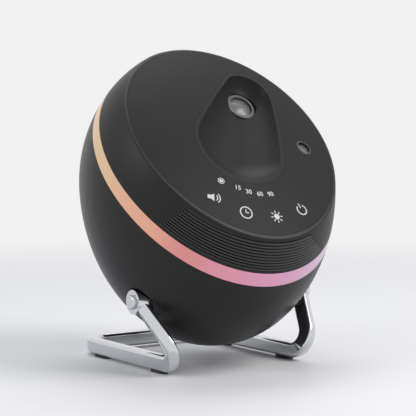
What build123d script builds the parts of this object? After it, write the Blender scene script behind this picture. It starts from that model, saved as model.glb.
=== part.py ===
"""Egg-shaped planetarium projector that tilts in a bent-bar stand.

World frame: +Z up, the projector looks towards -Y, origin on the floor under the middle.
Face frame: origin at the egg's widest section, +Z out of the face, +Y up the face, +X to the right.
"""
import os
from math import asin, cos, degrees, pi, radians, sin, sqrt, tan

from build123d import *

os.makedirs("parts", exist_ok=True)

# Egg: quarter-ellipses above and below its widest section, turned about the long axis.
EGG_HALF_WIDTH = 65.0
EGG_TOP = 71.5
EGG_BOTTOM = 82.3
EGG_LEAN = 7.5
EGG_HEIGHT = 91.0
EGG_Y = -0.78
SHELL_WALL = 2.4
QUARTER_HANDLE = 0.5523

# Face: a shallow dome across the egg.
FACE_TILT = 48.0
FACE_OFFSET = 31.5
FACE_BULGE = 5.0
FACE_BULGE_REACH = 60.0
PANEL_THICKNESS = 1.8
PANEL_LIP = 1.3
PANEL_GAP = 0.15
LEDGE_WIDTH = 6.0
LEDGE_THICKNESS = 1.6
CREASE_ROUND = 1.0

# Light ring between the two housings.
RING_MIDDLE = 11.2
RING_HEIGHT = 6.5
RING_LEAN = 1.6
SEAM_GAP = 0.05
STRIP_THICKNESS = 1.0
STRIP_GAP = 0.3

# Speaker grille, a ribbed insert in the cap's lower front.
GRILLE_RIBS = 10
GRILLE_MARGIN = 1.3
RIB_DEPTH = 0.9
RIB_SHARE = 0.55
GRILLE_TOP_LEFT = -44.0
GRILLE_TOP_RIGHT = 19.0
GRILLE_BOTTOM_LEFT = -54.0
GRILLE_BOTTOM_RIGHT = 37.0
GRILLE_GAP = 0.15
SLOT_LEFT = -32.0
SLOT_RIGHT = 4.0

# Dish: the path of a ball that shrinks from the wide end to the narrow end.
DISH_WIDE_X = -1.0
DISH_WIDE_Y = -5.0
DISH_WIDE_BALL = 28.0
DISH_WIDE_RISE = 16.0
DISH_NARROW_X = 23.0
DISH_NARROW_Y = 32.0
DISH_NARROW_BALL = 13.5
DISH_NARROW_RISE = 4.5
DISH_WALL = 1.8
DISH_FLANGE = 3.5
DISH_FLANGE_THICKNESS = 1.5
LENS_ALONG_DISH = 0.93

# Lenses and barrel.
LENS_RADIUS = 6.8
LENS_EDGE = 2.0
LENS_CROWN = 1.8
LENS_SINK = 0.5
CONDENSER_EDGE = 1.5
CONDENSER_CROWN = 1.6
BARREL_RADIUS = 8.0
BARREL_SHOULDER = 0.9
BARREL_BOTTOM = 10.0
BARREL_SINK = 3.2
COLLAR_HEIGHT = 1.0
COLLAR_LIP = 0.6
NECK_WALL = 1.8
NECK_LENGTH = 8.0
SLIDE_GAP = 0.1

# Gear train: effect wheel, motor pinion and grating gear in one plane.
GEAR_MODULE = 1.0
WHEEL_TEETH = 56
PINION_TEETH = 10
GRATING_TEETH = 12
GEAR_THICKNESS = 2.5
GEAR_PLANE = 5.0
TOOTH_SHARE = 0.42
TOOTH_TOP = 0.8
TOOTH_ROOT = 1.15
WHEEL_X = 10.0
WHEEL_Y = 11.5
GRATING_BEARING = -31.0
PINION_STEPS = 17
WHEEL_FILM = 1.0
WHEEL_HUB_RADIUS = 4.5
WHEEL_RIM = 2.2
AXLE_RADIUS = 1.5
RUNNING_GAP = 0.05
SIDE_PLAY = 0.3
CLIP_THICKNESS = 0.8
CLIP_RADIUS = 3.0

# Optics frame, motor, light engine and laser.
FRAME_TOP = 2.0
FRAME_THICKNESS = 2.5
FRAME_EDGE = 6.0
MOTOR_RADIUS = 8.0
MOTOR_LENGTH = 18.0
MOTOR_NOSE = 3.0
SHAFT_RADIUS = 1.0
LED_BOARD_RADIUS = 9.5
LED_BOARD_THICKNESS = 1.6
CUP_RADIUS = 7.0
CUP_THROAT = 2.4
CUP_WALL = 0.8
SINK_RADIUS = 11.0
SINK_BASE = 3.0
SINK_HEIGHT = 16.0
SINK_FINS = 6
FIN_THICKNESS = 1.4
LASER_RADIUS = 5.0
LASER_LENGTH = 18.0
LASER_NOSE_RADIUS = 2.4
LASER_APERTURE = 1.5
GRATING_HUB_RADIUS = 4.0
GRATING_HUB_HEIGHT = 1.9
FILM_THICKNESS = 0.4
WINDOW_RADIUS = 3.5
WINDOW_THICKNESS = 1.2
WINDOW_LEDGE = 0.6
BEZEL_WALL = 0.8
BEZEL_FLANGE = 1.2
BEZEL_DROP = 0.6

# Speaker behind the grille.
SPEAKER_BEARING = -106.0
SPEAKER_FRONT = 54.0
SPEAKER_WIDTH = 32.0
SPEAKER_HEIGHT = 12.0
SPEAKER_MIDDLE = 21.0
SPEAKER_DEPTH = 8.0
SPEAKER_RIM = 1.6
SURROUND_THICKNESS = 1.0
CONE_RADIUS = 4.0
CONE_THROAT = 2.0
CONE_DEPTH = 5.0
CONE_WALL = 0.6
MAGNET_RADIUS = 5.0
MAGNET_LENGTH = 5.0

# Boards and socket.
BOARD_THICKNESS = 1.6
BOARD_WIDTH = 50.0
BOARD_LOW = -25.0
BOARD_HIGH = 47.0
BOARD_DROP = 24.0
TONGUE_WIDTH = 16.0
TONGUE_LENGTH = 9.0
BOARD_POST_RADIUS = 2.5
BOARD_POST_INSET = 3.0
SOCKET_WIDTH = 9.0
SOCKET_HEIGHT = 3.2
SOCKET_LENGTH = 7.8
SOCKET_WALL = 0.35
SOCKET_ROUND = 0.97
SOCKET_TONGUE_WIDTH = 6.0
SOCKET_TONGUE_LENGTH = 5.8
SOCKET_TONGUE_THICKNESS = 0.7
SOCKET_REACH = 61.0
PORT_GAP = 0.3
TOUCH_BOARD_THICKNESS = 1.0
TOUCH_BOARD_LOW = -49.0
TOUCH_BOARD_HIGH = -26.0
TOUCH_BOARD_HALF = 36.0

# Screws that clamp both housings and the optics frame.
SCREW_UPPER_X = 40.0
SCREW_UPPER_Y = 36.0
SCREW_LOWER_X = 11.0
SCREW_LOWER_Y = -49.0
SCREW_RADIUS = 1.5
SCREW_HEAD_RADIUS = 2.8
SCREW_HEAD_HEIGHT = 2.0
SCREW_SEAT = -20.0
SCREW_TIP = 12.0
BOSS_RADIUS = 3.6

# Pivots between the egg and the stand.
PIVOT_Y = -13.0
PIVOT_Z = 35.5
PIVOT_SEAT = 45.5
PIVOT_BOSS_RADIUS = 8.5
PIVOT_BOSS_DEPTH = 7.0
PIVOT_POCKET_GAP = 0.8
BUSH_RADIUS = 2.6
BUSH_LENGTH = 6.0
PIVOT_SCREW_RADIUS = 1.5
PIVOT_SHOULDER_RADIUS = 2.0
PIVOT_HEAD_RADIUS = 3.6
PIVOT_HEAD_HEIGHT = 1.6
WASHER_THICKNESS = 0.7
WASHER_GAP = 0.1
EYE_RADIUS = 6.0

# Stand: one bent bar with rounded edges.
BAR_WIDTH = 8.0
BAR_THICKNESS = 6.0
BAR_EDGE_ROUND = 1.8
STAND_HALF_WIDTH = 38.5
STAND_FRONT = -39.0
STAND_REAR = 58.0
FRONT_BEND = 8.0
REAR_BEND = 12.0
PAD_THICKNESS = 1.2
PAD_LENGTH = 12.0
PAD_WIDTH = 4.6
PAD_SETBACK = 7.0

# Worked out from the sizes above.
RING_LOW = RING_MIDDLE - RING_HEIGHT / 2
RING_HIGH = RING_MIDDLE + RING_HEIGHT / 2
RING_RISE = EGG_HALF_WIDTH * sin(radians(RING_LEAN))
RING_TURN = Rot(X=-RING_LEAN)
FACE_RADIUS = (FACE_BULGE_REACH**2 + FACE_BULGE**2) / (2 * FACE_BULGE)
FRAME_BOTTOM = FRAME_TOP - FRAME_THICKNESS
SOCKET_Z = FRAME_BOTTOM - BOARD_DROP + SOCKET_HEIGHT / 2
EYE_MIDDLE = PIVOT_SEAT + WASHER_THICKNESS + 2 * WASHER_GAP + BAR_THICKNESS / 2
BAR_HEIGHT = PAD_THICKNESS + BAR_WIDTH / 2
UPRIGHT = Vector(EYE_MIDDLE - STAND_HALF_WIDTH, PIVOT_Y - STAND_FRONT, PIVOT_Z - BAR_HEIGHT)
FRONT_BEND_RUN = FRONT_BEND / tan(radians(UPRIGHT.get_angle(Vector(0, 1, 0)) / 2))
FRONT_PAD_Y = STAND_FRONT + FRONT_BEND_RUN + PAD_SETBACK
REAR_PAD_Y = STAND_REAR - REAR_BEND - PAD_SETBACK
BIG = 4 * EGG_BOTTOM

tilt = radians(FACE_TILT)
FACE_FRAME = Plane(
    origin=(0, EGG_Y, EGG_HEIGHT), x_dir=(1, 0, 0), z_dir=(0, -sin(tilt), cos(tilt))
)


def save(shape, node, in_face_frame=True):
    """Write one piece, moved from the face frame to the world where it was drawn there."""
    placed = FACE_FRAME.location * shape if in_face_frame else shape
    export_step(placed, f"parts/{node}.step")


def egg(inset=0.0):
    """The solid egg in the face frame, drawn inwards by inset."""
    side = EGG_HALF_WIDTH - inset
    top = EGG_TOP - inset
    bottom = inset - EGG_BOTTOM
    bend = QUARTER_HANDLE
    upper = Bezier((side, 0), (side, bend * top), (bend * side, top), (0, top))
    lower = Bezier((0, bottom), (bend * side, bottom), (side, bend * bottom), (side, 0))
    body = revolve(make_face([upper, Line((0, top), (0, bottom)), lower]), Axis.Y)
    return Rot(X=90 - FACE_TILT - EGG_LEAN) * body


def slab(low, high):
    """Everything between two heights of the face frame."""
    return Pos(0, 0, (low + high) / 2) * Box(BIG, BIG, high - low)


def dome(drop=0.0):
    """Everything under the face's domed surface, lowered by drop."""
    return Pos(0, 0, FACE_OFFSET + FACE_BULGE - FACE_RADIUS - drop) * Rot(X=90) * Sphere(FACE_RADIUS)


def dome_height(x, y):
    """Height of the face's surface over a point."""
    return FACE_OFFSET + FACE_BULGE - FACE_RADIUS + sqrt(FACE_RADIUS**2 - x**2 - y**2)


def rod(x, y, low, high, radius):
    """A round bar along the face normal."""
    return Pos(x, y, (low + high) / 2) * Cylinder(radius, high - low)


def tube(x, y, low, high, outer, inner):
    """A round tube along the face normal."""
    return rod(x, y, low, high, outer) - rod(x, y, low - 1, high + 1, inner)


def side_rod(near, far, y, z, radius):
    """A round bar along X in the world frame, from near to far."""
    return Pos((near + far) / 2, y, z) * Rot(Y=90) * Cylinder(radius, far - near)


def both_sides(shape):
    """A piece and its mirror image on the other side."""
    return Compound([*shape.solids(), *mirror(shape, Plane.YZ).solids()])


# Dish geometry shared by the dish, the panel and the lenses.
DISH_WIDE_Z = dome_height(DISH_WIDE_X, DISH_WIDE_Y) + DISH_WIDE_RISE
DISH_NARROW_Z = dome_height(DISH_NARROW_X, DISH_NARROW_Y) + DISH_NARROW_RISE
LENS_X = DISH_WIDE_X + LENS_ALONG_DISH * (DISH_NARROW_X - DISH_WIDE_X)
LENS_Y = DISH_WIDE_Y + LENS_ALONG_DISH * (DISH_NARROW_Y - DISH_WIDE_Y)
BORE_RADIUS = BARREL_RADIUS + SLIDE_GAP
DISH_FLOOR = DISH_NARROW_Z - sqrt(DISH_NARROW_BALL**2 - BORE_RADIUS**2)
BARREL_TOP = DISH_FLOOR - BARREL_SINK
MAIN_LENS_LOW = BARREL_TOP - LENS_EDGE - LENS_SINK


def dish_ball(grow=0.0):
    """The space swept by the shrinking ball, every radius larger by grow."""
    wide = Vector(DISH_WIDE_X, DISH_WIDE_Y, DISH_WIDE_Z)
    narrow = Vector(DISH_NARROW_X, DISH_NARROW_Y, DISH_NARROW_Z)
    reach = (narrow - wide).length
    big = DISH_WIDE_BALL + grow
    small = DISH_NARROW_BALL + grow
    slope = asin((big - small) / reach)
    big_tangent = (big * cos(slope), big * sin(slope))
    small_tangent = (small * cos(slope), reach + small * sin(slope))
    lower = slope / 2 - pi / 4
    upper = slope / 2 + pi / 4
    big_middle = (big * cos(lower), big * sin(lower))
    small_middle = (small * cos(upper), reach + small * sin(upper))
    big_arc = ThreePointArc((0, -big), big_middle, big_tangent)
    small_arc = ThreePointArc(small_tangent, small_middle, (0, reach + small))
    side = Line(big_tangent, small_tangent)
    spine = Line((0, reach + small), (0, -big))
    solid = revolve(make_face([big_arc, side, small_arc, spine]), Axis.Y)
    along = Plane(origin=wide, x_dir=(0, 0, 1), z_dir=narrow - wide)
    return along.location * Rot(X=90) * solid


def ring_slab(low, high):
    """A slab parallel to the light ring, which lies a little flatter than the face."""
    return RING_TURN * slab(low, high)


def band(low, high, outer_inset, inner_inset):
    """A ring of the egg's wall between two heights and two insets, parallel to the light ring."""
    return (egg(outer_inset) - egg(inner_inset)) & ring_slab(low, high)


def grille_outline(grow=0.0):
    """The grille's four-cornered field above the ring, grown all round and run through the front."""
    high = FACE_OFFSET - GRILLE_MARGIN
    corners = Polyline(
        (GRILLE_TOP_LEFT, high),
        (GRILLE_TOP_RIGHT, high),
        (GRILLE_BOTTOM_RIGHT, RING_HIGH),
        (GRILLE_BOTTOM_LEFT, RING_HIGH),
        close=True,
    )
    outline = make_face(corners)
    if grow:
        outline = offset(outline, amount=grow, kind=Kind.INTERSECTION)
    return extrude(Plane.XZ * outline, BIG) & ring_slab(RING_HIGH + GRILLE_MARGIN - grow, BIG)


def speaker_grille():
    """Ribs parallel to the light ring on a thinner skin, with sound slots between the ribs."""
    field = grille_outline() - egg(SHELL_WALL - SLIDE_GAP)
    field -= egg(PANEL_LIP) - dome(PANEL_THICKNESS + PANEL_GAP)
    low = RING_HIGH + GRILLE_MARGIN
    pitch = (FACE_OFFSET - RING_HIGH - RING_RISE - 2 * GRILLE_MARGIN) / GRILLE_RIBS
    grille = egg(RIB_DEPTH) & field
    ribs = egg() & field
    for index in range(GRILLE_RIBS):
        start = low + index * pitch
        grille += ribs & ring_slab(start, start + pitch * RIB_SHARE)
    slot_width = SLOT_RIGHT - SLOT_LEFT
    slot_height = pitch * (1 - RIB_SHARE)
    for index in range(1, GRILLE_RIBS - 1):
        height = low + (index + RIB_SHARE) * pitch + slot_height / 2
        slot = Box(slot_width, BIG, slot_height)
        grille -= RING_TURN * Pos((SLOT_LEFT + SLOT_RIGHT) / 2, -BIG / 2, height) * slot
    return grille


def screw_places():
    """The three places where a screw runs along the face normal."""
    return [
        (-SCREW_UPPER_X, SCREW_UPPER_Y),
        (SCREW_UPPER_X, SCREW_UPPER_Y),
        (SCREW_LOWER_X, SCREW_LOWER_Y),
    ]


def front_cap():
    """Moulded cap: side wall, lip and ledge round the panel, screw bosses."""
    outside = egg() & dome() & ring_slab(RING_HIGH + SEAM_GAP, BIG)
    crease = outside.faces().sort_by(Axis.Z)[-1].edges()
    outside = fillet(crease, CREASE_ROUND)
    cap = outside - (egg(SHELL_WALL) & dome(PANEL_THICKNESS + LEDGE_THICKNESS))
    cap -= egg(PANEL_LIP) & slab(0, BIG) - dome(PANEL_THICKNESS)
    cap -= egg(PANEL_LIP + LEDGE_WIDTH) & slab(FACE_OFFSET / 2, BIG)
    cap -= dish_ball(DISH_WALL + DISH_FLANGE + STRIP_GAP) & egg(SHELL_WALL)
    ceiling = egg(SHELL_WALL / 2) & dome(PANEL_THICKNESS)
    for x, y in screw_places():
        cap += rod(x, y, FRAME_TOP, FACE_OFFSET, BOSS_RADIUS) & ceiling
        cap -= rod(x, y, FRAME_TOP - 1, SCREW_TIP + 1, SCREW_RADIUS)
    return cap - (grille_outline(GRILLE_GAP) - egg(SHELL_WALL))


def face_panel():
    """Domed touch panel set flush in the cap, with holes for the dish and the laser window."""
    panel = egg(PANEL_LIP + PANEL_GAP) & (dome() - dome(PANEL_THICKNESS)) & slab(0, BIG)
    panel -= dish_ball(DISH_WALL + SLIDE_GAP)
    x, y = grating_place()
    return panel - rod(x, y, 0, BIG, WINDOW_RADIUS + BEZEL_WALL + SLIDE_GAP)


def lens_dish():
    """Smooth dish with a flange under the panel and a neck for the lens barrel."""
    dish = dish_ball(DISH_WALL) & dome()
    flange = dish_ball(DISH_WALL + DISH_FLANGE) & dome(PANEL_THICKNESS + SEAM_GAP)
    flange &= egg(SHELL_WALL + STRIP_GAP)
    for x, y in screw_places():
        flange -= rod(x, y, FRAME_TOP, BIG, BOSS_RADIUS + STRIP_GAP)
    dish += flange - dome(PANEL_THICKNESS + DISH_FLANGE_THICKNESS)
    neck_low = DISH_FLOOR - NECK_LENGTH
    dish += rod(LENS_X, LENS_Y, neck_low, DISH_FLOOR, BORE_RADIUS + NECK_WALL)
    dish -= dish_ball()
    return dish - rod(LENS_X, LENS_Y, neck_low - 1, BIG, BORE_RADIUS)


def lens(x, y, low, radius, edge, crown):
    """A lens, flat below and domed above."""
    ball = (radius**2 + crown**2) / (2 * crown)
    cap = Pos(x, y, low + edge + crown - ball) * Sphere(ball)
    return rod(x, y, low, low + edge + crown, radius) & cap


def lens_barrel():
    """Tube with an inner shoulder that parts the two lenses."""
    inner = LENS_RADIUS + RUNNING_GAP
    shoulder_low = BARREL_BOTTOM + CONDENSER_EDGE + CONDENSER_CROWN
    barrel = rod(LENS_X, LENS_Y, BARREL_BOTTOM, BARREL_TOP, BARREL_RADIUS)
    barrel -= rod(LENS_X, LENS_Y, MAIN_LENS_LOW, BARREL_TOP + 1, inner)
    barrel -= rod(LENS_X, LENS_Y, BARREL_BOTTOM - 1, shoulder_low, inner)
    return barrel - rod(LENS_X, LENS_Y, BARREL_BOTTOM, BARREL_TOP, inner - BARREL_SHOULDER)


def lens_collar():
    """Ring that holds the main lens down on its shoulder."""
    low = BARREL_TOP + SEAM_GAP
    return tube(LENS_X, LENS_Y, low, low + COLLAR_HEIGHT, BARREL_RADIUS, LENS_RADIUS - COLLAR_LIP)


def pitch_radius(teeth):
    return GEAR_MODULE * teeth / 2


def gear(teeth, tooth_at):
    """A toothed disc with straight flanks, one tooth centred on the bearing tooth_at."""
    pitch = pitch_radius(teeth)
    tip = pitch + TOOTH_TOP * GEAR_MODULE
    root = pitch - TOOTH_ROOT * GEAR_MODULE
    half = TOOTH_SHARE * 180 / teeth
    flare = degrees(GEAR_MODULE * sin(radians(20)) / pitch)
    outline = [(root, -half - flare), (tip, flare - half), (tip, half - flare), (root, half + flare)]
    corners = []
    for index in range(teeth):
        middle = tooth_at + index * 360 / teeth
        for radius, swing in outline:
            bearing = radians(middle + swing)
            corners.append((radius * cos(bearing), radius * sin(bearing)))
    return extrude(make_face(Polyline(*corners, close=True)), GEAR_THICKNESS)


def around_wheel(bearing, teeth):
    """Centre of a gear that meshes with the wheel at a bearing."""
    reach = pitch_radius(WHEEL_TEETH) + pitch_radius(teeth)
    return WHEEL_X + reach * cos(radians(bearing)), WHEEL_Y + reach * sin(radians(bearing))


def grating_place():
    return around_wheel(GRATING_BEARING, GRATING_TEETH)


PINION_BEARING = GRATING_BEARING - PINION_STEPS * 360 / WHEEL_TEETH


def pinion_place():
    return around_wheel(PINION_BEARING, PINION_TEETH)


def effect_wheel():
    """Gear-rimmed wheel with a thin patterned disc between rim and hub."""
    wheel = gear(WHEEL_TEETH, GRATING_BEARING)
    rim = pitch_radius(WHEEL_TEETH) - TOOTH_ROOT * GEAR_MODULE - WHEEL_RIM
    recess = rod(0, 0, WHEEL_FILM, GEAR_THICKNESS + 1, rim)
    wheel -= recess - rod(0, 0, 0, GEAR_THICKNESS, WHEEL_HUB_RADIUS)
    wheel -= rod(0, 0, -1, GEAR_THICKNESS + 1, AXLE_RADIUS + RUNNING_GAP)
    return Pos(WHEEL_X, WHEEL_Y, GEAR_PLANE) * wheel


def wheel_axle():
    """Steel pin with a collar that the wheel turns on."""
    top = GEAR_PLANE + GEAR_THICKNESS + SIDE_PLAY + CLIP_THICKNESS + SIDE_PLAY
    pin = rod(WHEEL_X, WHEEL_Y, FRAME_BOTTOM, top, AXLE_RADIUS)
    return pin + rod(WHEEL_X, WHEEL_Y, FRAME_TOP, GEAR_PLANE - SIDE_PLAY, CLIP_RADIUS)


def axle_clip():
    low = GEAR_PLANE + GEAR_THICKNESS + SIDE_PLAY
    return tube(WHEEL_X, WHEEL_Y, low, low + CLIP_THICKNESS, CLIP_RADIUS, AXLE_RADIUS)


def drive_pinion():
    """Motor pinion, with a gap facing the wheel's tooth."""
    x, y = pinion_place()
    tooth_at = PINION_BEARING + 180 + 180 / PINION_TEETH
    wheel = gear(PINION_TEETH, tooth_at) - rod(0, 0, -1, GEAR_THICKNESS + 1, SHAFT_RADIUS)
    return Pos(x, y, GEAR_PLANE) * wheel


def motor_shaft():
    x, y = pinion_place()
    return rod(x, y, FRAME_BOTTOM - MOTOR_LENGTH / 2, GEAR_PLANE + GEAR_THICKNESS + 1, SHAFT_RADIUS)


def wheel_motor():
    """Motor can under the frame with its bearing nose in the frame's hole."""
    x, y = pinion_place()
    can = rod(x, y, FRAME_BOTTOM - MOTOR_LENGTH, FRAME_BOTTOM, MOTOR_RADIUS)
    lower = can.edges().filter_by(GeomType.CIRCLE).sort_by(Axis.Z)[0]
    can = fillet(lower, CREASE_ROUND)
    can += rod(x, y, FRAME_BOTTOM, FRAME_TOP, MOTOR_NOSE)
    bore_low = FRAME_BOTTOM - MOTOR_LENGTH / 2 - 1
    return can - rod(x, y, bore_low, FRAME_TOP + 1, SHAFT_RADIUS + RUNNING_GAP)


def grating_gear():
    """Small gear that turns on the laser's nose and carries the star grating."""
    x, y = grating_place()
    tooth_at = GRATING_BEARING + 180 + 180 / GRATING_TEETH
    top = GEAR_THICKNESS + GRATING_HUB_HEIGHT
    wheel = gear(GRATING_TEETH, tooth_at) + rod(0, 0, 0, top, GRATING_HUB_RADIUS)
    wheel -= rod(0, 0, -1, top + 1, LASER_NOSE_RADIUS + RUNNING_GAP)
    return Pos(x, y, GEAR_PLANE) * wheel


def grating_film():
    x, y = grating_place()
    low = GEAR_PLANE + GEAR_THICKNESS + GRATING_HUB_HEIGHT
    return rod(x, y, low, low + FILM_THICKNESS, GRATING_HUB_RADIUS)


def laser_module():
    """Laser in a round body, with a hollow nose for the grating gear."""
    x, y = grating_place()
    nose = GEAR_PLANE + GEAR_THICKNESS + GRATING_HUB_HEIGHT - SIDE_PLAY
    body = rod(x, y, FRAME_TOP - LASER_LENGTH, GEAR_PLANE - SIDE_PLAY, LASER_RADIUS)
    body += rod(x, y, GEAR_PLANE - 1, nose, LASER_NOSE_RADIUS)
    return body - rod(x, y, GEAR_PLANE - 1, nose + 1, LASER_APERTURE)


def bezel_low():
    """Underside of the bezel's flange, which clears the sloping underside of the panel."""
    x, y = grating_place()
    return dome_height(x, y) - PANEL_THICKNESS - PANEL_GAP - BEZEL_DROP - BEZEL_FLANGE


def window_bezel():
    """Small ring with a flange under the panel that frames the laser window."""
    x, y = grating_place()
    outer = WINDOW_RADIUS + BEZEL_WALL
    low = bezel_low()
    ring = rod(x, y, low, BIG, outer) & dome(SLIDE_GAP)
    ring += rod(x, y, low, low + BEZEL_FLANGE, outer + BEZEL_FLANGE)
    ring -= rod(x, y, low + WINDOW_LEDGE, BIG, WINDOW_RADIUS + RUNNING_GAP)
    return ring - rod(x, y, 0, BIG, WINDOW_RADIUS - WINDOW_LEDGE)


def laser_window():
    x, y = grating_place()
    low = bezel_low() + WINDOW_LEDGE
    return rod(x, y, low + SEAM_GAP, low + WINDOW_THICKNESS, WINDOW_RADIUS)


def optics_frame():
    """Moulded plate across the egg that carries motor, wheel, light engine, laser, board and speaker."""
    frame = egg(SHELL_WALL + FRAME_EDGE) & slab(FRAME_BOTTOM, FRAME_TOP)
    for x, y in board_post_places():
        frame += rod(x, y, FRAME_BOTTOM - BOARD_DROP, FRAME_BOTTOM, BOARD_POST_RADIUS)
    for x, y in speaker_post_places():
        frame += rod(x, y, FRAME_TOP, SPEAKER_MIDDLE - SPEAKER_HEIGHT / 2, BOARD_POST_RADIUS)
    for x, y in screw_places():
        frame -= rod(x, y, FRAME_BOTTOM - 1, FRAME_TOP + 1, SCREW_RADIUS + PORT_GAP)
    motor_x, motor_y = pinion_place()
    laser_x, laser_y = grating_place()
    frame -= rod(motor_x, motor_y, FRAME_BOTTOM - 1, FRAME_TOP + 1, MOTOR_NOSE + RUNNING_GAP)
    frame -= rod(laser_x, laser_y, FRAME_BOTTOM - 1, FRAME_TOP + 1, LASER_RADIUS + RUNNING_GAP)
    frame -= rod(LENS_X, LENS_Y, FRAME_BOTTOM - 1, FRAME_TOP + 1, CUP_RADIUS + SLIDE_GAP)
    return frame - rod(WHEEL_X, WHEEL_Y, FRAME_BOTTOM - 1, FRAME_TOP + 1, AXLE_RADIUS)


def led_board():
    return rod(LENS_X, LENS_Y, FRAME_BOTTOM - LED_BOARD_THICKNESS, FRAME_BOTTOM, LED_BOARD_RADIUS)


def light_cup():
    """Reflector cup over the light source."""
    high = GEAR_PLANE - SIDE_PLAY - CUP_WALL
    height = high - FRAME_BOTTOM
    outside = Cone(CUP_THROAT + CUP_WALL, CUP_RADIUS, height)
    inside = Cone(CUP_THROAT, CUP_RADIUS - CUP_WALL, height)
    return Pos(LENS_X, LENS_Y, FRAME_BOTTOM + height / 2) * (outside - inside)


def heat_sink():
    """Round base with straight fins below."""
    high = FRAME_BOTTOM - LED_BOARD_THICKNESS
    sink = rod(LENS_X, LENS_Y, high - SINK_BASE, high, SINK_RADIUS)
    post = rod(LENS_X, LENS_Y, high - SINK_HEIGHT, high - SINK_BASE, SINK_RADIUS)
    spacing = (2 * SINK_RADIUS - FIN_THICKNESS) / SINK_FINS
    for index in range(SINK_FINS):
        x = LENS_X - SINK_RADIUS + FIN_THICKNESS / 2 + (index + 0.5) * spacing
        sink += post & Pos(x, LENS_Y, high - SINK_HEIGHT / 2) * Box(FIN_THICKNESS, BIG, SINK_HEIGHT)
    return sink


def board_post_places():
    """Four posts under the frame at the main board's corners."""
    x = BOARD_WIDTH / 2 - BOARD_POST_INSET
    low = BOARD_LOW + BOARD_POST_INSET
    high = BOARD_HIGH - BOARD_POST_INSET
    return [(-x, low), (-x, high), (x, low), (x, high)]


def main_board():
    """Circuit board under the posts, with a tongue that carries the socket."""
    high = FRAME_BOTTOM - BOARD_DROP
    middle = (BOARD_LOW + BOARD_HIGH) / 2
    board = Pos(0, middle) * RectangleRounded(BOARD_WIDTH, BOARD_HIGH - BOARD_LOW, BOARD_POST_INSET)
    board += Pos(0, BOARD_HIGH + TONGUE_LENGTH / 2 - 1) * Rectangle(TONGUE_WIDTH, TONGUE_LENGTH + 2)
    return Pos(0, 0, high - BOARD_THICKNESS) * extrude(board, BOARD_THICKNESS)


def socket_shape(grow, length):
    """Round-ended bar along Y with the socket's section, its outer end at the socket's reach."""
    width = SOCKET_WIDTH + 2 * grow
    height = SOCKET_HEIGHT + 2 * grow
    section = Plane.XZ * RectangleRounded(width, height, SOCKET_ROUND * height / 2)
    return Pos(0, SOCKET_REACH, SOCKET_Z) * extrude(section, length)


def usb_socket():
    """Metal power socket shell, open outwards, with its tongue."""
    shell = socket_shape(0, SOCKET_LENGTH)
    shell -= socket_shape(-SOCKET_WALL, SOCKET_LENGTH - 2 * SOCKET_WALL)
    tongue = Box(SOCKET_TONGUE_WIDTH, SOCKET_TONGUE_LENGTH, SOCKET_TONGUE_THICKNESS)
    back = SOCKET_REACH - SOCKET_LENGTH + SOCKET_WALL
    return shell + Pos(0, back + SOCKET_TONGUE_LENGTH / 2, SOCKET_Z) * tongue


def touch_board():
    """Thin touch board against the panel's underside, below the dish."""
    sheet = dome(PANEL_THICKNESS + SEAM_GAP) - dome(PANEL_THICKNESS + TOUCH_BOARD_THICKNESS)
    depth = TOUCH_BOARD_HIGH - TOUCH_BOARD_LOW
    middle = (TOUCH_BOARD_HIGH + TOUCH_BOARD_LOW) / 2
    field = Pos(0, middle, FACE_OFFSET) * Box(2 * TOUCH_BOARD_HALF, depth, FACE_OFFSET)
    field &= egg(PANEL_LIP + LEDGE_WIDTH + STRIP_GAP)
    for x, y in screw_places():
        field -= rod(x, y, FRAME_TOP, BIG, BOSS_RADIUS + STRIP_GAP)
    return (sheet & field) - dish_ball(DISH_WALL + DISH_FLANGE + STRIP_GAP)


SPEAKER_AXIS = Plane(
    origin=(
        SPEAKER_FRONT * cos(radians(SPEAKER_BEARING)),
        SPEAKER_FRONT * sin(radians(SPEAKER_BEARING)),
        SPEAKER_MIDDLE,
    ),
    x_dir=(-sin(radians(SPEAKER_BEARING)), cos(radians(SPEAKER_BEARING)), 0),
    z_dir=(cos(radians(SPEAKER_BEARING)), sin(radians(SPEAKER_BEARING)), 0),
)


def speaker_post_places():
    """Two posts under the speaker's ends."""
    reach = SPEAKER_WIDTH / 2 - SPEAKER_HEIGHT / 2
    places = []
    for side in (-1, 1):
        spot = SPEAKER_AXIS.from_local_coords(Vector(side * reach, 0, -SPEAKER_DEPTH / 2))
        places.append((spot.X, spot.Y))
    return places


def speaker_frame():
    """Racetrack basket that narrows towards the magnet."""
    rim = extrude(SlotOverall(SPEAKER_WIDTH, SPEAKER_HEIGHT), -SPEAKER_DEPTH)
    inner = SlotOverall(SPEAKER_WIDTH - 2 * SPEAKER_RIM, SPEAKER_HEIGHT - 2 * SPEAKER_RIM)
    rim -= extrude(inner, SPEAKER_RIM - SPEAKER_DEPTH)
    return SPEAKER_AXIS.location * rim


def speaker_cone():
    """Flat surround in the basket's mouth with a paper cone in the middle."""
    play = 2 * (SPEAKER_RIM + SLIDE_GAP)
    mouth = SlotOverall(SPEAKER_WIDTH - play, SPEAKER_HEIGHT - play)
    surround = extrude(mouth, -SURROUND_THICKNESS)
    outside = Cone(CONE_THROAT, CONE_RADIUS, CONE_DEPTH)
    inside = Cone(CONE_THROAT - CONE_WALL, CONE_RADIUS - CONE_WALL, CONE_DEPTH)
    cone = Pos(0, 0, -CONE_DEPTH / 2) * (outside - inside)
    hole = Cylinder(CONE_RADIUS - CONE_WALL, 2 * SURROUND_THICKNESS)
    return SPEAKER_AXIS.location * (surround - hole + cone)


def speaker_magnet():
    low = -SPEAKER_DEPTH - MAGNET_LENGTH
    return SPEAKER_AXIS.location * rod(0, 0, low, -SPEAKER_DEPTH, MAGNET_RADIUS)


def light_ring():
    """Diffuser ring flush with both housings."""
    return band(RING_LOW, RING_HIGH, 0, SHELL_WALL)


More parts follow.
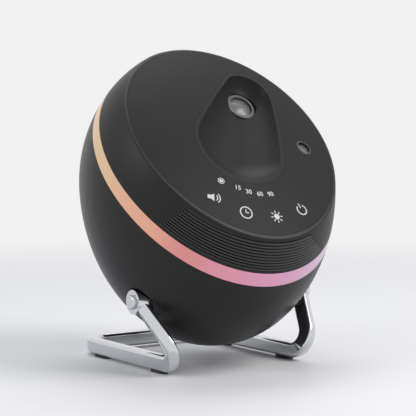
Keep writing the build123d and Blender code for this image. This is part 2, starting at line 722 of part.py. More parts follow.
def ring_strip():
    """Light strip bent round inside the diffuser."""
    near = SHELL_WALL + STRIP_GAP
    return band(RING_LOW + STRIP_GAP, RING_HIGH - STRIP_GAP, near, near + STRIP_THICKNESS)


def rear_shell():
    """Bowl with screw tubes, pivot bosses with flat seats, and the socket's port."""
    bowl = band(-BIG, RING_LOW - SEAM_GAP, 0, SHELL_WALL)
    room = egg(SHELL_WALL / 2)
    for x, y in screw_places():
        bowl += rod(x, y, -EGG_BOTTOM, FRAME_BOTTOM, BOSS_RADIUS) & room
        bowl -= rod(x, y, -EGG_BOTTOM, SCREW_SEAT, SCREW_HEAD_RADIUS + PORT_GAP / 2)
        bowl -= rod(x, y, SCREW_SEAT, FRAME_BOTTOM + 1, SCREW_RADIUS + PORT_GAP / 2)
    bowl -= Pos(0, SOCKET_LENGTH / 2, 0) * socket_shape(PORT_GAP, SOCKET_LENGTH)
    bowl = FACE_FRAME.location * bowl
    pocket = EYE_RADIUS + PIVOT_POCKET_GAP
    for side in (-1, 1):
        ends = sorted((side * (PIVOT_SEAT - PIVOT_BOSS_DEPTH), side * PIVOT_SEAT))
        bowl += side_rod(*ends, PIVOT_Y, PIVOT_Z, PIVOT_BOSS_RADIUS)
        ends = sorted((side * PIVOT_SEAT, side * EGG_HALF_WIDTH))
        bowl -= side_rod(*ends, PIVOT_Y, PIVOT_Z, pocket)
        ends = sorted((side * (PIVOT_SEAT - BUSH_LENGTH), side * (PIVOT_SEAT + 1)))
        bowl -= side_rod(*ends, PIVOT_Y, PIVOT_Z, BUSH_RADIUS)
    return bowl


def shell_screws():
    """Three long screws that clamp rear shell, frame and cap."""
    screws = []
    for x, y in screw_places():
        screw = rod(x, y, SCREW_SEAT, SCREW_TIP, SCREW_RADIUS)
        screw += rod(x, y, SCREW_SEAT - SCREW_HEAD_HEIGHT, SCREW_SEAT, SCREW_HEAD_RADIUS)
        screws.append(screw.solid())
    return Compound(screws)


def pivot_bushes():
    """Brass inserts in the pivot bosses."""
    low = PIVOT_SEAT - BUSH_LENGTH
    bush = side_rod(low, PIVOT_SEAT, PIVOT_Y, PIVOT_Z, BUSH_RADIUS)
    bush -= side_rod(low - 1, PIVOT_SEAT + 1, PIVOT_Y, PIVOT_Z, PIVOT_SCREW_RADIUS)
    return both_sides(bush)


def friction_washers():
    """Washers that hold the tilt by friction."""
    near = PIVOT_SEAT + WASHER_GAP / 2
    washer = side_rod(near, near + WASHER_THICKNESS, PIVOT_Y, PIVOT_Z, EYE_RADIUS)
    washer -= side_rod(near - 1, near + 2, PIVOT_Y, PIVOT_Z, PIVOT_SHOULDER_RADIUS)
    return both_sides(washer)


def pivot_screws():
    """Shoulder screws that the stand's eyes turn on."""
    near = PIVOT_SEAT - BUSH_LENGTH
    outer = EYE_MIDDLE + BAR_THICKNESS / 2 + WASHER_GAP
    screw = side_rod(near, PIVOT_SEAT, PIVOT_Y, PIVOT_Z, PIVOT_SCREW_RADIUS)
    screw += side_rod(PIVOT_SEAT, outer, PIVOT_Y, PIVOT_Z, PIVOT_SHOULDER_RADIUS - RUNNING_GAP)
    head = side_rod(outer, outer + PIVOT_HEAD_HEIGHT, PIVOT_Y, PIVOT_Z, PIVOT_HEAD_RADIUS)
    rim = head.edges().filter_by(GeomType.CIRCLE).sort_by(Axis.X)[-1]
    return both_sides(screw + fillet(rim, PIVOT_HEAD_HEIGHT / 2))


def stand_frame():
    """One bar bent from eye to eye: up to the left pivot, along the floor, up to the right."""
    path = FilletPolyline(
        (0, STAND_REAR, BAR_HEIGHT),
        (STAND_HALF_WIDTH, STAND_REAR, BAR_HEIGHT),
        (STAND_HALF_WIDTH, STAND_FRONT, BAR_HEIGHT),
        (EYE_MIDDLE, PIVOT_Y, PIVOT_Z),
        radius=[REAR_BEND, FRONT_BEND],
    )
    section = Plane(origin=(0, STAND_REAR, BAR_HEIGHT), x_dir=(0, 1, 0), z_dir=(1, 0, 0))
    profile = section * RectangleRounded(BAR_THICKNESS, BAR_WIDTH, BAR_EDGE_ROUND)
    half = sweep(profile, path)
    near = EYE_MIDDLE - BAR_THICKNESS / 2
    far = EYE_MIDDLE + BAR_THICKNESS / 2
    cheek = EYE_RADIUS + BAR_WIDTH / 2
    half -= side_rod(near - BAR_WIDTH, near, PIVOT_Y, PIVOT_Z, cheek)
    half -= side_rod(far, far + BAR_WIDTH, PIVOT_Y, PIVOT_Z, cheek)
    half += side_rod(near, far, PIVOT_Y, PIVOT_Z, EYE_RADIUS)
    half -= side_rod(near - 1, far + 1, PIVOT_Y, PIVOT_Z, PIVOT_SHOULDER_RADIUS)
    return half + mirror(half, Plane.YZ)


def foot_pads():
    """Four rubber pads under the floor bars."""
    pads = []
    for side in (-1, 1):
        for y in (FRONT_PAD_Y, REAR_PAD_Y):
            pad = extrude(SlotOverall(PAD_LENGTH, PAD_WIDTH, rotation=90), PAD_THICKNESS)
            pads.append((Pos(side * STAND_HALF_WIDTH, y, 0) * pad).solid())
    return Compound(pads)


save(front_cap(), "front_cap")
save(face_panel(), "face_panel")
save(speaker_grille(), "speaker_grille")
save(lens_dish(), "lens_dish")
save(lens(LENS_X, LENS_Y, MAIN_LENS_LOW, LENS_RADIUS, LENS_EDGE, LENS_CROWN), "main_lens")
save(lens_collar(), "lens_collar")
save(lens_barrel(), "lens_barrel")
save(lens(LENS_X, LENS_Y, BARREL_BOTTOM, LENS_RADIUS, CONDENSER_EDGE, CONDENSER_CROWN), "condenser_lens")
save(window_bezel(), "window_bezel")
save(laser_window(), "laser_window")
save(light_ring(), "light_ring")
save(ring_strip(), "ring_strip")
save(touch_board(), "touch_board")
save(effect_wheel(), "effect_wheel")
save(wheel_axle(), "wheel_axle")
save(axle_clip(), "axle_clip")
save(drive_pinion(), "drive_pinion")
save(motor_shaft(), "motor_shaft")
save(wheel_motor(), "wheel_motor")
save(grating_gear(), "grating_gear")
save(grating_film(), "grating_film")
save(laser_module(), "laser_module")
save(optics_frame(), "optics_frame")
save(led_board(), "led_board")
save(light_cup(), "light_cup")
save(heat_sink(), "heat_sink")
save(main_board(), "main_board")
save(usb_socket(), "usb_socket")
save(speaker_frame(), "speaker_frame")
save(speaker_cone(), "speaker_cone")
save(speaker_magnet(), "speaker_magnet")
save(shell_screws(), "shell_screws")
save(rear_shell(), "rear_shell", in_face_frame=False)
save(pivot_bushes(), "pivot_bushes", in_face_frame=False)
save(friction_washers(), "friction_washers", in_face_frame=False)
save(pivot_screws(), "pivot_screws", in_face_frame=False)
save(stand_frame(), "stand_frame", in_face_frame=False)
save(foot_pads(), "foot_pads", in_face_frame=False)
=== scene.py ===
"""Looks of the egg-shaped planetarium projector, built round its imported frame."""
import math

import bmesh
import bpy
from mathutils import Matrix, Vector


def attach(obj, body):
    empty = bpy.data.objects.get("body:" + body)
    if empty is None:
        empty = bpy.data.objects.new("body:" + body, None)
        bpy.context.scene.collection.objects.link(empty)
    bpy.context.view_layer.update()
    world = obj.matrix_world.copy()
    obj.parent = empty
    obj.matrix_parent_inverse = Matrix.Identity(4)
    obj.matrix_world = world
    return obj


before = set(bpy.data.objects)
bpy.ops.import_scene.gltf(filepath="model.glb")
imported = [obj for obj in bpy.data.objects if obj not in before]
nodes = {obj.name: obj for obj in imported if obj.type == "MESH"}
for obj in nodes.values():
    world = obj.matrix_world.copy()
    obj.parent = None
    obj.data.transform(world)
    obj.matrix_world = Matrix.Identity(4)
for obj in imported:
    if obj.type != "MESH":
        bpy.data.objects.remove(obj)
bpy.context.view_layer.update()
scene = bpy.context.scene
scene.view_settings.view_transform = "Standard"

# ---- Camera ----
# The projector is seen from its left front, a little above the level of its light ring, from far
# enough that it hardly narrows with distance.
look_at = Vector((0.001, 0.0, 0.0785))
view_turn, view_rise, view_distance = -34.5, 4.0, 0.79


def way_out(turn, rise):
    """A direction away from the projector: turned from straight in front, then raised."""
    turn, rise = math.radians(turn), math.radians(rise)
    return Vector((
        math.sin(turn) * math.cos(rise),
        -math.cos(turn) * math.cos(rise),
        math.sin(rise),
    ))


def aim(thing, way, distance):
    """Place the camera or a lamp out along a direction, facing the projector."""
    thing.location = look_at + distance * way
    thing.rotation_euler = way.to_track_quat("Z", "Y").to_euler()
    scene.collection.objects.link(thing)


camera = bpy.data.objects.new("camera", bpy.data.cameras.new("camera"))
camera.data.lens = 134.0
camera.data.sensor_width = 36.0
camera.data.clip_start = 0.01
aim(camera, way_out(view_turn, view_rise), view_distance)
scene.camera = camera

# ---- Lamps ----
# A large key lamp at the right front, a side lamp at the left and a top lamp behind: all soft
# boxes, so that the black mouldings shade smoothly.
soft_boxes = [
    # name, turn, rise, distance, width, power, tint
    ("key_lamp", 35.0, 42.0, 0.85, 0.45, 4.2, (1.0, 0.99, 0.97)),
    ("side_lamp", -95.0, 28.0, 0.9, 0.4, 2.0, (0.97, 0.98, 1.0)),
    ("top_lamp", 150.0, 68.0, 0.8, 0.5, 2.2, (1.0, 1.0, 1.0)),
]
for name, turn, rise, distance, width, power, tint in soft_boxes:
    lamp = bpy.data.objects.new(name, bpy.data.lights.new(name, "AREA"))
    lamp.data.size = width
    lamp.data.energy = power
    lamp.data.color = tint
    aim(lamp, way_out(turn, rise), distance)

# ---- Backdrop ----
# A pale paper backdrop all round. It shows white to the eye, in polished metal and through glass,
# and lights the projector more weakly and a little cooler.
backdrop = {"Color": (0.93, 0.93, 0.94, 1.0), "Strength": 0.95}
room_light = {"Color": (0.9, 0.93, 1.0, 1.0), "Strength": 0.38}


def add_node(tree, kind, values=None):
    """Add a shader node and set those of its sockets that nothing is linked to."""
    node = tree.nodes.new(kind)
    for socket, value in (values or {}).items():
        node.inputs[socket].default_value = value
    return node


def add_math(tree, operation, first, second):
    """Add a Math node; its second term is a number or another node's output."""
    node = add_node(tree, "ShaderNodeMath")
    node.operation = operation
    tree.links.new(first, node.inputs[0])
    if isinstance(second, float):
        node.inputs[1].default_value = second
    else:
        tree.links.new(second, node.inputs[1])
    return node


def backdrop_rays(tree):
    """Mask of the rays that show the pale backdrop: straight, reflected or through glass."""
    path = add_node(tree, "ShaderNodeLightPath").outputs
    plain = add_math(tree, "MAXIMUM", path["Is Camera Ray"], path["Is Glossy Ray"])
    return add_math(tree, "MAXIMUM", plain.outputs[0], path["Is Transmission Ray"]).outputs[0]


def mix_surfaces(tree, mask, unmasked, masked, outlet):
    """Blend two shaders by a mask, into the tree's output node."""
    blend = add_node(tree, "ShaderNodeMixShader")
    tree.links.new(mask, blend.inputs["Fac"])
    tree.links.new(unmasked.outputs[0], blend.inputs[1])
    tree.links.new(masked.outputs[0], blend.inputs[2])
    tree.links.new(blend.outputs[0], outlet.inputs["Surface"])


scene.world = bpy.data.worlds.new("studio")
scene.world.use_nodes = True
room = scene.world.node_tree
room.nodes.clear()
mix_surfaces(
    room,
    backdrop_rays(room),
    add_node(room, "ShaderNodeBackground", room_light),
    add_node(room, "ShaderNodeBackground", backdrop),
    add_node(room, "ShaderNodeOutputWorld"),
)

# ---- Table top ----
# A pale lacquered table top with a fine uneven sheen. Well away from the projector it fades into
# the backdrop, so that no horizon shows.
table_half_width = 3.0
fade_start, fade_end = 0.22, 0.75

table_mesh = bmesh.new()
bmesh.ops.create_grid(table_mesh, x_segments=1, y_segments=1, size=table_half_width)
table = bpy.data.objects.new("table_top", bpy.data.meshes.new("table_top"))
table_mesh.to_mesh(table.data)
table_mesh.free()
scene.collection.objects.link(table)

table_paint = bpy.data.materials.new("table_paint")
table_paint.use_nodes = True
paint = table_paint.node_tree
lacquer = paint.nodes["Principled BSDF"]
lacquer.inputs["Base Color"].default_value = (0.83, 0.83, 0.84, 1.0)
table_spot = add_node(paint, "ShaderNodeTexCoord").outputs["Object"]
unevenness = add_node(paint, "ShaderNodeTexNoise", {"Scale": 40.0})
sheen = add_node(paint, "ShaderNodeMapRange", {"To Min": 0.52, "To Max": 0.6})
paint.links.new(table_spot, unevenness.inputs["Vector"])
paint.links.new(unevenness.outputs["Fac"], sheen.inputs["Value"])
paint.links.new(sheen.outputs["Result"], lacquer.inputs["Roughness"])
from_middle = add_node(paint, "ShaderNodeVectorMath")
from_middle.operation = "LENGTH"
fade = add_node(paint, "ShaderNodeMapRange", {"From Min": fade_start, "From Max": fade_end})
fade.interpolation_type = "SMOOTHSTEP"
paint.links.new(table_spot, from_middle.inputs[0])
paint.links.new(from_middle.outputs["Value"], fade.inputs["Value"])
mix_surfaces(
    paint,
    add_math(paint, "MULTIPLY", fade.outputs["Result"], backdrop_rays(paint)).outputs[0],
    lacquer,
    add_node(paint, "ShaderNodeEmission", backdrop),
    paint.nodes["Material Output"],
)
table.data.materials.append(table_paint)

# ---- Front cap ----
# The moulded cap between the face and the light ring: black ABS with a fine spark-eroded texture,
# one piece with its crease, lip and ledge, and clamped by three long screws from behind.


def start_surface(name, own_inputs):
    """Start a node group that turns a colour and a roughness into a worn, grained surface."""
    group = bpy.data.node_groups.new(name, "ShaderNodeTree")
    sockets = group.interface
    sockets.new_socket("Colour", in_out="INPUT", socket_type="NodeSocketColor")
    for own_input in ["Roughness"] + own_inputs:
        sockets.new_socket(own_input, in_out="INPUT", socket_type="NodeSocketFloat")
    sockets.new_socket("Colour", in_out="OUTPUT", socket_type="NodeSocketColor")
    sockets.new_socket("Roughness", in_out="OUTPUT", socket_type="NodeSocketFloat")
    sockets.new_socket("Normal", in_out="OUTPUT", socket_type="NodeSocketVector")
    return group, add_node(group, "NodeGroupInput"), add_node(group, "NodeGroupOutput")


def multiply_colours(tree, first, second):
    """Multiply one colour output by another colour or grey level."""
    product = add_node(tree, "ShaderNodeMix", {"Factor": 1.0})
    product.data_type = "RGBA"
    product.blend_type = "MULTIPLY"
    first_colour, second_colour, result_colour = 6, 7, 2
    tree.links.new(first, product.inputs[first_colour])
    tree.links.new(second, product.inputs[second_colour])
    return product.outputs[result_colour]


def add_wear(group, inlet, outlet, patches, tones, gloss_change):
    """Vary the tone and the gloss slowly, in the same patches, as handling or tarnish does."""
    tone = add_node(group, "ShaderNodeMapRange", {"To Min": tones[0], "To Max": tones[1]})
    change = add_node(
        group, "ShaderNodeMapRange", {"To Min": gloss_change[0], "To Max": gloss_change[1]}
    )
    group.links.new(patches, tone.inputs["Value"])
    group.links.new(patches, change.inputs["Value"])
    colour = multiply_colours(group, inlet.outputs["Colour"], tone.outputs["Result"])
    gloss = add_math(group, "ADD", inlet.outputs["Roughness"], change.outputs["Result"])
    gloss.use_clamp = True
    group.links.new(colour, outlet.inputs["Colour"])
    group.links.new(gloss.outputs[0], outlet.inputs["Roughness"])


def add_relief(group, outlet, depth, height, strength):
    """Raise the surface by a height texture, to a depth in metres."""
    relief = add_node(group, "ShaderNodeBump", {"Strength": strength})
    group.links.new(depth, relief.inputs["Distance"])
    group.links.new(height, relief.inputs["Height"])
    group.links.new(relief.outputs["Normal"], outlet.inputs["Normal"])


def add_moulded_grain():
    """Node group: the pebbled grain of a mould, with slow changes from handling."""
    group, inlet, outlet = start_surface("moulded_grain", ["Grain Size", "Grain Depth"])
    place = add_node(group, "ShaderNodeTexCoord").outputs["Object"]
    pebble = add_node(group, "ShaderNodeTexNoise", {"Detail": 3.0})
    handled = add_node(group, "ShaderNodeTexNoise", {"Scale": 290.0, "Detail": 4.0})
    group.links.new(place, pebble.inputs["Vector"])
    group.links.new(place, handled.inputs["Vector"])
    group.links.new(inlet.outputs["Grain Size"], pebble.inputs["Scale"])
    add_wear(
        group, inlet, outlet, handled.outputs["Fac"],
        tones=(0.86, 1.14), gloss_change=(-0.05, 0.05),
    )
    add_relief(
        group, outlet, inlet.outputs["Grain Depth"], pebble.outputs["Fac"], strength=0.35
    )
    return group


def surfaced(name, group, colour, values):
    """A material, and its shader, whose colour, gloss and relief come from a surface group."""
    finish = bpy.data.materials.new(name)
    finish.use_nodes = True
    shader = finish.node_tree.nodes["Principled BSDF"]
    surface = finish.node_tree.nodes.new("ShaderNodeGroup")
    surface.node_tree = group
    surface.inputs["Colour"].default_value = (*colour, 1.0)
    for socket, value in values.items():
        surface.inputs[socket].default_value = value
    for output, socket in zip(surface.outputs, ("Base Color", "Roughness", "Normal")):
        finish.node_tree.links.new(output, shader.inputs[socket])
    return finish, shader


moulded_grain = add_moulded_grain()


def moulded(name, colour, roughness, grain, depth, specular=0.5):
    """A moulded plastic: its colour, gloss, grain per metre and grain depth in metres."""
    values = {"Roughness": roughness, "Grain Size": grain, "Grain Depth": depth}
    finish, shader = surfaced(name, moulded_grain, colour, values)
    shader.inputs["Specular IOR Level"].default_value = specular
    return finish


def dress(names, finish):
    """Give CAD nodes one finish all over."""
    for name in names:
        for slot in nodes[name].material_slots:
            slot.material = finish


dress(["front_cap"], moulded(
    "cap_black", (0.012, 0.012, 0.0125),
    roughness=0.44, grain=2600.0, depth=0.00006, specular=0.26,
))

# ---- Face panel ----
# A thin domed acrylic panel with a satin black face. It is set flush in the cap's lip and glued to
# its ledge.
dress(["face_panel"], moulded(
    "panel_black", (0.0115, 0.0115, 0.012),
    roughness=0.46, grain=3000.0, depth=0.00003, specular=0.14,
))

# ---- Touch board ----
# A thin lacquered circuit board, stuck to the panel's underside below the dish. Its copper pads
# feel a finger through the panel.
dress(["touch_board"], moulded(
    "board_lacquer", (0.02, 0.11, 0.05), roughness=0.35, grain=900.0, depth=0.00002,
))

# ---- Printed touch marks ----
# White ink, screen printed on the panel in one pass: four touch marks under a row of small
# numbers for the minutes, and a small lamp mark. Only the ink's top is made, as one thin sheet
# that lies at the ink's thickness over the dome.
egg_middle = Vector((0.0, -0.00078, 0.091))
face_tilt = math.radians(48.0)
dome_radius, dome_top = 0.3625, 0.0365
ink_thickness = 0.00006
marks_middle = Vector((0.0015, -0.007, 0.0))
bold_line, line, fine_line = 0.00065, 0.00055, 0.0004
number_height, number_weight = 0.0035, 0.00006
numbers_reach = 0.0284
numbers = [("15", -33.4), ("30", -21.6), ("60", -9.3), ("90", 3.4)]


def flat_turn(degrees, size=3):
    """A turn in the plane that the marks are drawn in, anticlockwise."""
    return Matrix.Rotation(math.radians(degrees), size, "Z")


def bar(ink, middle, length, width, turn=0.0):
    """A stroke with square ends, lying flat."""
    verts = bmesh.ops.create_grid(ink, x_segments=1, y_segments=1, size=0.5)["verts"]
    bmesh.ops.scale(ink, verts=verts, vec=(length, width, 1.0))
    bmesh.ops.rotate(ink, verts=verts, matrix=flat_turn(turn))
    bmesh.ops.translate(ink, verts=verts, vec=(*middle, 0.0))


def disc(ink, middle, radius, corners, turn=0.0):
    """A filled round spot or, with three corners, a triangle."""
    verts = bmesh.ops.create_circle(ink, cap_ends=True, segments=corners, radius=radius)["verts"]
    bmesh.ops.rotate(ink, verts=verts, matrix=flat_turn(turn))
    bmesh.ops.translate(ink, verts=verts, vec=(*middle, 0.0))


def hoop(ink, middle, radius, width, start=0.0, sweep=360.0):
    """A ring or part of one, spun from a short stroke."""
    whole = sweep == 360.0
    earlier = set(ink.verts)
    stroke = [ink.verts.new((radius + side * width / 2, 0.0, 0.0)) for side in (-1, 1)]
    edge = ink.edges.new(stroke)
    bmesh.ops.rotate(ink, verts=stroke, matrix=flat_turn(start))
    bmesh.ops.spin(
        ink, geom=stroke + [edge], axis=(0.0, 0.0, 1.0), cent=(0.0, 0.0, 0.0),
        angle=math.radians(sweep), steps=40, use_merge=whole, use_duplicate=False,
    )
    spun = [vert for vert in ink.verts if vert not in earlier]
    bmesh.ops.translate(ink, verts=spun, vec=(*middle, 0.0))


def draw_sound(ink):
    """Sound: a loudspeaker's box and horn, and two waves."""
    bar(ink, (-0.0021, 0.0), length=0.0014, width=0.0022)
    disc(ink, (-0.0006, 0.0), radius=0.0024, corners=3, turn=-30.0)
    for radius in (0.0018, 0.0031):
        hoop(ink, (0.0006, 0.0), radius, width=line, start=-50.0, sweep=100.0)


def draw_clock(ink):
    """Timer: a clock's rim, its long hand and its short hand."""
    hoop(ink, (0.0, 0.0), radius=0.0031, width=bold_line)
    bar(ink, (0.0, 0.0009), length=line, width=0.0019)
    bar(ink, (0.0007, 0.0), length=0.0016, width=line)


def draw_light(ink):
    """Light: a sun with eight rays."""
    rays, ray_middle = 8, Vector((0.0027, 0.0, 0.0))
    disc(ink, (0.0, 0.0), radius=0.0016, corners=32)
    for ray in range(rays):
        turn = ray * 360.0 / rays
        bar(ink, (flat_turn(turn) @ ray_middle).xy, length=0.0012, width=0.0006, turn=turn)


def draw_power(ink):
    """Power: an open ring with a stroke through its gap."""
    hoop(ink, (0.0, -0.0002), radius=0.0027, width=bold_line, start=125.0, sweep=290.0)
    bar(ink, (0.0, 0.0021), length=bold_line, width=0.0026)


def draw_lamp(ink):
    """Lamp mark: a spot in a thin ring."""
    disc(ink, (0.0, 0.0), radius=0.00095, corners=20)
    hoop(ink, (0.0, 0.0), radius=0.00155, width=fine_line)


def place_on_face(bearing, reach, turn):
    """Place of a mark: a bearing from straight down and a distance from the marks' middle."""
    angle = math.radians(bearing)
    spot = marks_middle + reach * Vector((math.sin(angle), -math.cos(angle), 0.0))
    return Matrix.Translation(spot) @ flat_turn(turn, 4)


printed = bpy.data.objects.new("touch_marks", bpy.data.meshes.new("touch_marks"))
marks = bmesh.new()
symbols = [
    # drawing, bearing, reach, turn
    (draw_sound, -48.4, 0.0418, -20.0),
    (draw_clock, -23.8, 0.0412, -12.0),
    (draw_light, 0.0, 0.041, 0.0),
    (draw_power, 24.2, 0.041, 12.0),
    (draw_lamp, -50.6, 0.0301, 0.0),
]
for draw, bearing, reach, turn in symbols:
    earlier = set(marks.verts)
    draw(marks)
    drawn = [vert for vert in marks.verts if vert not in earlier]
    bmesh.ops.transform(marks, matrix=place_on_face(bearing, reach, turn), verts=drawn)

for number, bearing in numbers:
    curve = bpy.data.curves.new("number", "FONT")
    curve.body = number
    curve.size = number_height
    curve.offset = number_weight
    curve.align_x = "CENTER"
    curve.align_y = "CENTER"
    letters = bpy.data.objects.new("number", curve)
    scene.collection.objects.link(letters)
    bpy.context.view_layer.update()
    flat = bpy.data.meshes.new_from_object(letters)
    bpy.data.objects.remove(letters)
    flat.transform(place_on_face(bearing, numbers_reach, bearing / 2))
    marks.from_mesh(flat)
    bpy.data.meshes.remove(flat)

bmesh.ops.recalc_face_normals(marks, faces=marks.faces)
for face in marks.faces:
    if face.normal.z < 0.0:
        face.normal_flip()
for vert in marks.verts:
    bulge = math.sqrt(dome_radius ** 2 - vert.co.x ** 2 - vert.co.y ** 2) - dome_radius
    vert.co.z = dome_top + bulge + ink_thickness
on_egg = Matrix.Translation(egg_middle) @ Matrix.Rotation(face_tilt, 4, "X")
bmesh.ops.transform(marks, matrix=on_egg, verts=marks.verts)
marks.to_mesh(printed.data)
marks.free()
scene.collection.objects.link(printed)
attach(printed, "projector")
printed.data.materials.append(moulded(
    "white_ink", (0.6, 0.61, 0.62), roughness=0.5, grain=4000.0, depth=0.00001,
))

# ---- Speaker grille ----
# A separate black moulding of ten ribs on a thin skin, snapped into the cap's lower front, with
# slots between the ribs in front of the speaker. It is a little smoother than the cap.
dress(["speaker_grille"], moulded(
    "grille_black", (0.018, 0.018, 0.019), roughness=0.4, grain=2600.0, depth=0.00003,
))

# ---- Speaker ----
# A racetrack speaker on two posts behind the grille: a glass-filled frame, a pressed paper cone
# glued to it, and a ferrite magnet.
dress(["speaker_frame"], moulded(
    "speaker_black", (0.02, 0.02, 0.02), roughness=0.55, grain=1500.0, depth=0.00004,
))
dress(["speaker_cone"], moulded(
    "cone_paper", (0.035, 0.033, 0.032), roughness=0.8, grain=1800.0, depth=0.0001,
))
dress(["speaker_magnet"], moulded(
    "ferrite", (0.045, 0.045, 0.048), roughness=0.6, grain=1200.0, depth=0.00005,
))

# ---- Lens dish and barrel ----
# The smooth hollow in the face: a satin black moulding with its own flange and neck. The moulded
# lens barrel slides into the neck from behind.
dress(["lens_dish"], moulded(
    "dish_satin", (0.0175, 0.0175, 0.018),
    roughness=0.44, grain=3200.0, depth=0.00001, specular=0.14,
))
dress(["lens_barrel"], moulded(
    "barrel_black", (0.025, 0.025, 0.025), roughness=0.5, grain=1600.0, depth=0.00003,
))

# ---- Lens collar and window bezel ----
# The collar is a turned aluminium ring, blasted and darkened, that screws over the front lens. A
# smaller and darker ring of the same look holds the laser's window in the face.
line_stretch = (1.0, 0.12, 1.0)


def add_drawn_metal():
    """Node group: the fine lines of drawn or turned metal, with a slow tarnish."""
    group, inlet, outlet = start_surface("drawn_metal", ["Line Depth"])
    place = add_node(group, "ShaderNodeTexCoord").outputs["Object"]
    stretch = add_node(group, "ShaderNodeMapping", {"Scale": line_stretch})
    lines = add_node(group, "ShaderNodeTexNoise", {"Scale": 2200.0})
    tarnish = add_node(group, "ShaderNodeTexNoise", {"Scale": 70.0})
    group.links.new(place, stretch.inputs["Vector"])
    group.links.new(stretch.outputs["Vector"], lines.inputs["Vector"])
    group.links.new(place, tarnish.inputs["Vector"])
    add_wear(
        group, inlet, outlet, tarnish.outputs["Fac"],
        tones=(0.93, 1.03), gloss_change=(-0.02, 0.05),
    )
    add_relief(group, outlet, inlet.outputs["Line Depth"], lines.outputs["Fac"], strength=0.3)
    return group


drawn_metal = add_drawn_metal()


def metal(name, colour, roughness, depth):
    """A drawn or turned metal: its colour, gloss and line depth in metres."""
    values = {"Roughness": roughness, "Line Depth": depth}
    finish, shader = surfaced(name, drawn_metal, colour, values)
    shader.inputs["Metallic"].default_value = 1.0
    return finish


dress(["lens_collar"], metal("collar_satin", (0.13, 0.13, 0.133), roughness=0.45, depth=0.00001))
dress(["window_bezel"], metal("bezel_dark", (0.09, 0.09, 0.095), roughness=0.42, depth=0.00001))

# ---- Lenses, laser window and star grating ----
# Two plano-convex crown glass lenses, polished and coated, a flat round window over the laser, and
# the clear embossed film that splits the laser's beam into stars.
crown_glass_ior = 1.52
smear_gloss, smear_tint = 0.03, (1.02, 1.02, 1.05)


def polished_glass(name, tint, roughness, clearness=1.0):
    """Clear glass or film with faint smears; a coated one is less clear."""
    finish = bpy.data.materials.new(name)
    finish.use_nodes = True
    tree = finish.node_tree
    shader = tree.nodes["Principled BSDF"]
    shader.inputs["Transmission Weight"].default_value = clearness
    shader.inputs["IOR"].default_value = crown_glass_ior
    place = add_node(tree, "ShaderNodeTexCoord").outputs["Object"]
    smear = add_node(tree, "ShaderNodeTexNoise", {"Scale": 260.0})
    gloss = add_node(
        tree, "ShaderNodeMapRange", {"To Min": roughness, "To Max": roughness + smear_gloss}
    )
    cast = add_node(tree, "ShaderNodeValToRGB")
    smeared_tint = [level * change for level, change in zip(tint, smear_tint)]
    cast.color_ramp.elements[0].color = (*tint, 1.0)
    cast.color_ramp.elements[1].color = (*smeared_tint, 1.0)
    tree.links.new(place, smear.inputs["Vector"])
    tree.links.new(smear.outputs["Fac"], gloss.inputs["Value"])
    tree.links.new(gloss.outputs["Result"], shader.inputs["Roughness"])
    tree.links.new(smear.outputs["Fac"], cast.inputs["Fac"])
    tree.links.new(cast.outputs["Color"], shader.inputs["Base Color"])
    return finish


dress(["main_lens"], polished_glass(
    "coated_glass", (0.36, 0.36, 0.37), roughness=0.24, clearness=0.62,
))
dress(["condenser_lens"], polished_glass("lens_glass", (0.93, 0.95, 0.97), roughness=0.0))
dress(["laser_window"], polished_glass(
    "window_glass", (0.31, 0.31, 0.32), roughness=0.14, clearness=0.5,
))
dress(["grating_film"], polished_glass("film_clear", (0.88, 0.9, 0.94), roughness=0.01))

# ---- Light ring ----
# A milky acrylic diffuser, flush between the two housings. The lamps behind it wash it from warm
# on one side through pink to lilac on the other.
ring_lamps = [
    # share of the way round from the top by the left, colour
    (0.0, (0.55, 0.40, 0.42)),
    (0.22, (0.66, 0.45, 0.21)),
    (0.33, (0.72, 0.32, 0.17)),
    (0.39, (0.64, 0.18, 0.16)),
    (0.44, (0.66, 0.21, 0.30)),
    (0.5, (0.61, 0.24, 0.41)),
    (0.6, (0.49, 0.38, 0.54)),
    (1.0, (0.55, 0.40, 0.42)),
]
ring_glow = bpy.data.materials.new("ring_glow")
ring_glow.use_nodes = True
ring = ring_glow.node_tree
acrylic = ring.nodes["Principled BSDF"]
acrylic.inputs["Base Color"].default_value = (0.16, 0.14, 0.15, 1.0)
acrylic.inputs["Roughness"].default_value = 0.4
acrylic.inputs["Specular IOR Level"].default_value = 0.3
acrylic.inputs["Emission Strength"].default_value = 0.8

ring_spot = add_node(ring, "ShaderNodeTexCoord").outputs["Object"]
in_face_plane = add_node(
    ring, "ShaderNodeMapping", {"Location": egg_middle, "Rotation": (face_tilt, 0.0, 0.0)}
)
in_face_plane.vector_type = "TEXTURE"
across_and_up = add_node(ring, "ShaderNodeSeparateXYZ")
share = add_node(ring, "ShaderNodeMapRange", {"From Min": -math.pi, "From Max": math.pi})
wash = add_node(ring, "ShaderNodeValToRGB")
wash.color_ramp.interpolation = "EASE"
for share_round, colour in ring_lamps[1:-1]:
    wash.color_ramp.elements.new(share_round)
for stop, (share_round, colour) in zip(wash.color_ramp.elements, ring_lamps):
    stop.position = share_round
    stop.color = (*colour, 1.0)
ring.links.new(ring_spot, in_face_plane.inputs["Vector"])
ring.links.new(in_face_plane.outputs["Vector"], across_and_up.inputs["Vector"])
downwards = add_math(ring, "MULTIPLY", across_and_up.outputs["Y"], -1.0).outputs[0]
bearing_round = add_math(ring, "ARCTAN2", across_and_up.outputs["X"], downwards)
ring.links.new(bearing_round.outputs[0], share.inputs["Value"])
ring.links.new(share.outputs["Result"], wash.inputs["Fac"])

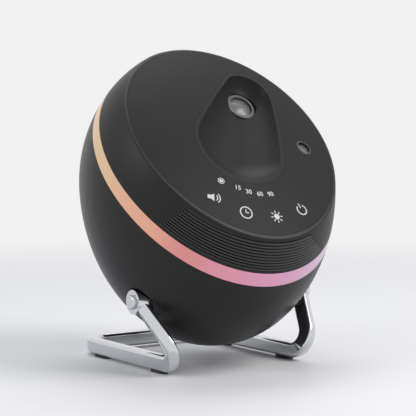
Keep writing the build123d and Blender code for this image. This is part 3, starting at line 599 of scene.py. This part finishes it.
milk = add_node(ring, "ShaderNodeTexNoise", {"Scale": 1500.0})
milkiness = add_node(ring, "ShaderNodeMapRange", {"To Min": 0.94, "To Max": 1.06})
ring.links.new(ring_spot, milk.inputs["Vector"])
ring.links.new(milk.outputs["Fac"], milkiness.inputs["Value"])
glow = multiply_colours(ring, wash.outputs["Color"], milkiness.outputs["Result"])
ring.links.new(glow, acrylic.inputs["Emission Color"])
dress(["light_ring"], ring_glow)

# ---- Light strip ----
# The flexible strip of small colour lamps in a white silicone sleeve, laid in the housings'
# channel behind the diffuser.
dress(["ring_strip"], moulded(
    "strip_white", (0.75, 0.74, 0.7), roughness=0.6, grain=700.0, depth=0.00005,
))

# ---- Effect wheel and grating gear ----
# Moulded acetal gears in one plane. The wheel carries the printed effect disc between lamp and
# lens, and the small gear carries the laser's grating round.
dress(["effect_wheel"], moulded(
    "wheel_print", (0.62, 0.64, 0.7), roughness=0.4, grain=420.0, depth=0.00002,
))
dress(["grating_gear"], moulded(
    "acetal_white", (0.78, 0.78, 0.75), roughness=0.4, grain=1200.0, depth=0.00002,
))

# ---- Wheel motor, pinion, axle and clip ----
# A small motor in a drawn steel can, with a turned brass pinion pressed on its shaft. The wheel
# runs on a ground steel axle and a spring clip keeps it there.
turned_brass = metal("turned_brass", (0.72, 0.53, 0.24), roughness=0.3, depth=0.00001)
dress(["drive_pinion"], turned_brass)
dress(["wheel_motor"], metal("motor_can", (0.55, 0.55, 0.57), roughness=0.35, depth=0.00002))
dress(
    ["motor_shaft", "wheel_axle", "axle_clip"],
    metal("plain_steel", (0.58, 0.58, 0.6), roughness=0.28, depth=0.00001),
)

# ---- Optics frame and laser ----
# The glass-filled moulded plate that carries the works, clamped between cap and bowl, and the
# laser in its turned brass barrel, pressed into the plate.
dress(["optics_frame"], moulded(
    "frame_grey", (0.035, 0.035, 0.037), roughness=0.55, grain=1500.0, depth=0.00004,
))
dress(["laser_module"], turned_brass)

# ---- Lamp and boards ----
# The lamp's board, with a polished reflector cup in front and a cast, finned heat sink behind, and
# the main board on four posts, with its power socket.
dress(["led_board", "main_board"], moulded(
    "board_green", (0.02, 0.12, 0.055), roughness=0.35, grain=900.0, depth=0.00002,
))
dress(["light_cup"], metal("cup_bright", (0.88, 0.88, 0.88), roughness=0.12, depth=0.000004))
dress(["heat_sink"], metal("sink_cast", (0.7, 0.71, 0.73), roughness=0.45, depth=0.00003))
dress(["usb_socket"], metal("socket_steel", (0.66, 0.66, 0.68), roughness=0.25, depth=0.00001))

# ---- Rear shell and its screws ----
# The deep bowl: smoother black ABS than the cap, with flat seats for the pivots, three deep screw
# bores and the socket's port. Long zinc-plated screws clamp bowl, frame and cap.
dress(["rear_shell"], moulded(
    "bowl_satin", (0.013, 0.0135, 0.0135),
    roughness=0.37, grain=3000.0, depth=0.00002, specular=0.27,
))
dress(["shell_screws"], metal("zinc_plate", (0.55, 0.56, 0.58), roughness=0.32, depth=0.00001))

# ---- Pivots ----
# Shoulder screws with polished heads go through the stand's eyes and a friction washer into brass
# bushes in the bowl, so that the projector stays at the tilt it is put to.
dress(["pivot_screws"], metal("screw_polish", (0.66, 0.67, 0.69), roughness=0.12, depth=0.000004))
dress(["friction_washers"], moulded(
    "washer_black", (0.03, 0.03, 0.03), roughness=0.6, grain=1500.0, depth=0.00003,
))
dress(["pivot_bushes"], turned_brass)

# ---- Stand and pads ----
# One flat-sided steel bar, bent from eye to eye and chromed. Four soft rubber pads are glued under
# its floor bars.
dress(["stand_frame"], metal("bright_chrome", (0.68, 0.69, 0.71), roughness=0.06, depth=0.000002))
dress(["foot_pads"], moulded(
    "pad_rubber", (0.03, 0.03, 0.03), roughness=0.75, grain=1500.0, depth=0.00005,
))
